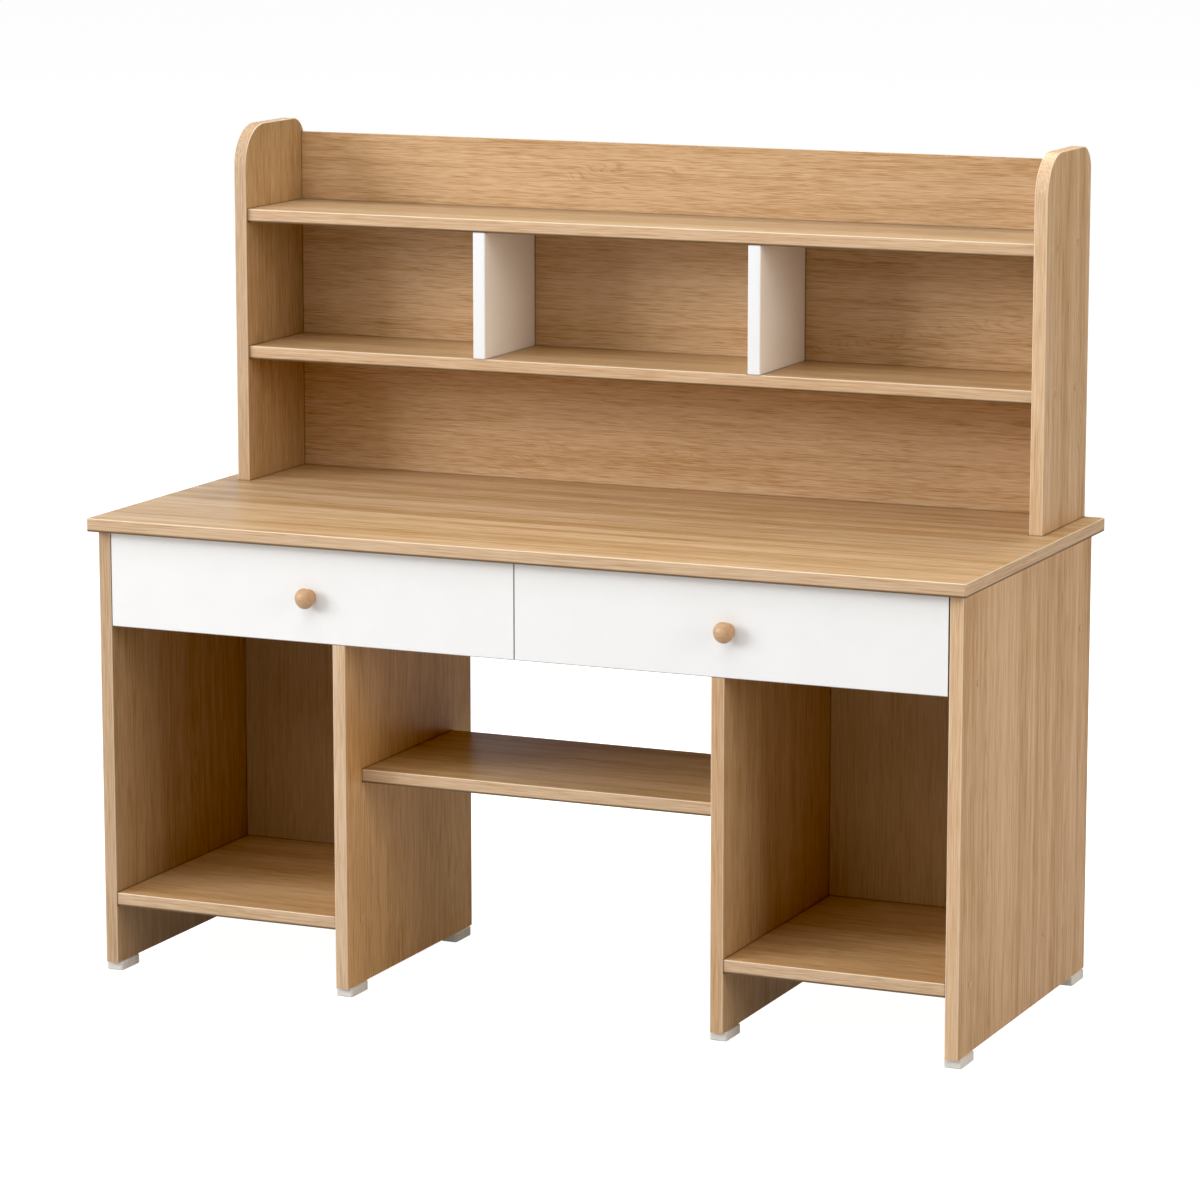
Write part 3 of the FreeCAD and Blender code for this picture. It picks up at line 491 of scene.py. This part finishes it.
for side in ("left", "right"):
    dress(f"{side}_drawer_front", drawer_white)
    dress(f"{side}_knob", knob_beech)
    dress(f"{side}_knob_bolt", screw_zinc)
    dress(f"{side}_drawer_back", box_oak["x"])
    dress(f"{side}_drawer_bottom", bottom_oak)
    dress(f"{side}_drawer_slide_balls", ball_chrome)
    for hand in ("left", "right"):
        dress(f"{side}_drawer_{hand}_side", box_oak["y"])
        for member in ("cabinet", "middle", "drawer"):
            dress(f"{side}_drawer_{hand}_slide_{member}_member", zinc_steel)

foot_plastic = plastic_material("foot_plastic", (0.82, 0.80, 0.77, 1), (0.75, 0.73, 0.70, 1), 0.45)
cap_plastic = plastic_material(
    "cap_plastic", (0.60, 0.40, 0.23, 1), (0.55, 0.355, 0.195, 1), 0.45, (0.78, 0.78, 0.78))
for name in nodes:
    if name.startswith("foot_"):
        dress(name, foot_plastic)
dress("screw_caps", cap_plastic)
dress("confirmat_screws", screw_zinc)
dress("dowels", beech_material("dowel_beech", "z"))


# ---------------------------------------------------------------- slide screws

def screw_head_rings(radius, height, points=16, rings=7):
    """Return the grid of a pan head that stands up along z, as a (rings, points, 3) array.

    The rim rises straight to 0.45 of the height, and a flat dome goes on
    from there: height times (1 - 0.55 t^4), with t the share of the radius.
    The foot is sunk 0.05 of the height into the steel.
    The cross is pressed in where a place lies within 0.2 radius of either
    axis and within 0.62 radius of the middle.
    """
    share = np.concatenate(([1.0, 1.0], np.linspace(0.96, 0.04, rings - 2)))[:, None]
    turn = np.linspace(0, 2 * np.pi, points, endpoint=False)[None, :] + np.pi / points
    x, y = share * np.cos(turn), share * np.sin(turn)
    rise = height * (1 - 0.55 * share ** 4) * np.ones_like(turn)
    rise[0] = -0.05 * height
    in_cross = (np.minimum(np.abs(x), np.abs(y)) < 0.2) & (share < 0.62)
    rise = np.where(in_cross, rise - 0.45 * height, rise)
    return np.stack([radius * x, radius * y, rise], axis=2)


def ring_faces(rings, points):
    """Return the quads between a grid's rings, counter-clockwise seen from outside."""
    ring, point = np.meshgrid(np.arange(rings - 1), np.arange(points), indexing="ij")
    after = (point + 1) % points
    corners = (ring * points + point, ring * points + after, (ring + 1) * points + after,
               (ring + 1) * points + point)
    return np.stack(corners, axis=-1).reshape(-1, 4)


SCREW_RADIUS, SCREW_HEIGHT = 3.8 * MM, 2.0 * MM
SCREW_PLACES = np.array((35, 163, 355)) * MM      # behind the front end of the drawer member


def add_slide_screws():
    """Put three pan-head screws in the web of each drawer member, on the side of its channel."""
    head = screw_head_rings(SCREW_RADIUS, SCREW_HEIGHT)
    rings, points = head.shape[:2]
    count = rings * points
    starts = [count * number for number in range(len(SCREW_PLACES))]
    sides = np.concatenate([ring_faces(rings, points) + start for start in starts]).tolist()
    tops = [list(range(start + count - points, start + count)) for start in starts]
    feet = [list(range(start + points - 1, start - 1, -1)) for start in starts]
    for drawer in ("left", "right"):
        for hand, outward in (("left", -1), ("right", 1)):
            low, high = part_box(f"{drawer}_drawer_{hand}_slide_drawer_member")
            web = low[0] + SLIDE_STEEL if outward > 0 else high[0] - SLIDE_STEEL
            middle = (low[2] + high[2]) / 2
            heads = [np.stack([web + outward * head[..., 2], low[1] + place + outward * head[..., 0],
                               middle + head[..., 1]], axis=-1) for place in SCREW_PLACES]
            mesh = bpy.data.meshes.new("slide_screws")
            mesh.from_pydata(np.reshape(heads, (-1, 3)).tolist(), [], sides + tops + feet)
            mesh.shade_smooth()
            mesh.materials.append(screw_zinc)
            screws = bpy.data.objects.new(f"{drawer}_drawer_{hand}_slide_screws", mesh)
            scene.collection.objects.link(screws)
            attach(screws, f"{drawer}_drawer")


add_slide_screws()


# ---------------------------------------------------------------- floor, light, camera

# softbox: (place, width, height, power, colour, whether gloss mirrors it)
SOFTBOXES = {
    "key_softbox": ((-0.8, -3.8, 4.2), 4.0, 4.0, 115, (1.00, 0.95, 0.87), True),
    "front_left_softbox": ((-5.0, -5.0, 2.4), 3.0, 3.0, 59, (1.00, 0.89, 0.70), True),
    "far_left_softbox": ((-11.0, -8.0, 5.0), 7.0, 6.0, 1250, (0.94, 0.96, 1.00), True),
    "right_softbox": ((5.5, -1.3, 2.4), 3.0, 3.0, 155, (1.00, 0.90, 0.80), False),
    "rear_softbox": ((0.0, 2.2, 4.2), 3.5, 2.5, 127, (1.00, 0.95, 0.78), True),
    "rear_left_softbox": ((-5.5, 7.0, 2.2), 4.0, 2.5, 36, (0.70, 0.85, 1.00), True),
    "ceiling_softbox": ((0.0, -1.0, 10.0), 8.0, 8.0, 419, (0.89, 0.92, 1.00), True),
}
SOFTBOX_AIM = Vector((0, 0, 0.7))
SKY_SEEN, SKY_LIT = 0.995, 0.01
FLOOR_SEEN, FLOOR_LIT = 0.975, 0.15
FLOOR_REACH = 60.0
BLACK_LEVEL = 0.009


def seen_or_lit(tree, seen, lit):
    """Return seen for what the camera sees directly, and lit for what lights the desk."""
    direct = add_node(tree, "LightPath").outputs["Is Camera Ray"]
    return maths(tree, "MULTIPLY_ADD", direct, seen - lit, lit)


def make_floor():
    """Pale floor that reaches past the camera's view on all sides."""
    corners = [(FLOOR_REACH * x, FLOOR_REACH * y, 0) for x, y in ((-1, -1), (1, -1), (1, 1), (-1, 1))]
    mesh = bpy.data.meshes.new("floor")
    mesh.from_pydata(corners, [], [(0, 1, 2, 3)])
    floor = bpy.data.objects.new("floor", mesh)
    scene.collection.objects.link(floor)
    material, tree, shader, place = new_material("floor_paint")
    drift = noise(tree, place, (0.7, 0.7, 0.7), 2.0)
    colour = blend(tree, remap(tree, drift, 0.3, 0.7), (0.39, 0.39, 0.39, 1), (0.41, 0.41, 0.41, 1))
    tree.links.new(colour, shader.inputs["Base Color"])
    shader.inputs["Roughness"].default_value = 0.8
    shader.inputs["Specular IOR Level"].default_value = 0.0
    shader.inputs["Emission Color"].default_value = (1, 1, 1, 1)
    tree.links.new(seen_or_lit(tree, FLOOR_SEEN, FLOOR_LIT), shader.inputs["Emission Strength"])
    floor.data.materials.append(material)


def add_softbox(name, place, width, height, power, colour, mirrored):
    """Add a rectangular light that looks at the desk; if mirrored, gloss shows it."""
    light = bpy.data.lights.new(name, "AREA")
    light.shape = "RECTANGLE"
    light.size = width
    light.size_y = height
    light.energy = power
    light.color = colour
    lamp = bpy.data.objects.new(name, light)
    lamp.location = place
    lamp.visible_glossy = mirrored
    lamp.rotation_euler = (SOFTBOX_AIM - Vector(place)).to_track_quat("-Z", "Y").to_euler()
    scene.collection.objects.link(lamp)


def light_studio():
    """White surroundings, the softboxes, and a picture with slightly deepened blacks."""
    world = bpy.data.worlds.new("studio")
    world.use_nodes = True
    scene.world = world
    tree = world.node_tree
    background = tree.nodes["Background"]
    background.inputs["Color"].default_value = (1, 1, 1, 1)
    tree.links.new(seen_or_lit(tree, SKY_SEEN, SKY_LIT), background.inputs["Strength"])
    for name, softbox in SOFTBOXES.items():
        add_softbox(name, *softbox)
    scene.view_settings.view_transform = "Standard"
    scene.view_settings.look = "None"
    scene.view_settings.use_curve_mapping = True
    scene.view_settings.curve_mapping.black_level = (BLACK_LEVEL,) * 3
    scene.view_settings.curve_mapping.update()


def make_camera():
    """Camera that looks down on the desk from its right front."""
    camera = bpy.data.cameras.new("camera")
    camera.sensor_width = 36.0
    camera.lens = 142.6
    camera.clip_end = 200.0
    viewer = bpy.data.objects.new("camera", camera)
    viewer.location = (3.0627, -6.9127, 1.9952)
    turn, tilt = 0.4160, 0.1798
    viewer.rotation_euler = (math.pi / 2 - tilt, 0, turn)
    scene.collection.objects.link(viewer)
    scene.camera = viewer


make_floor()
light_studio()
make_camera()
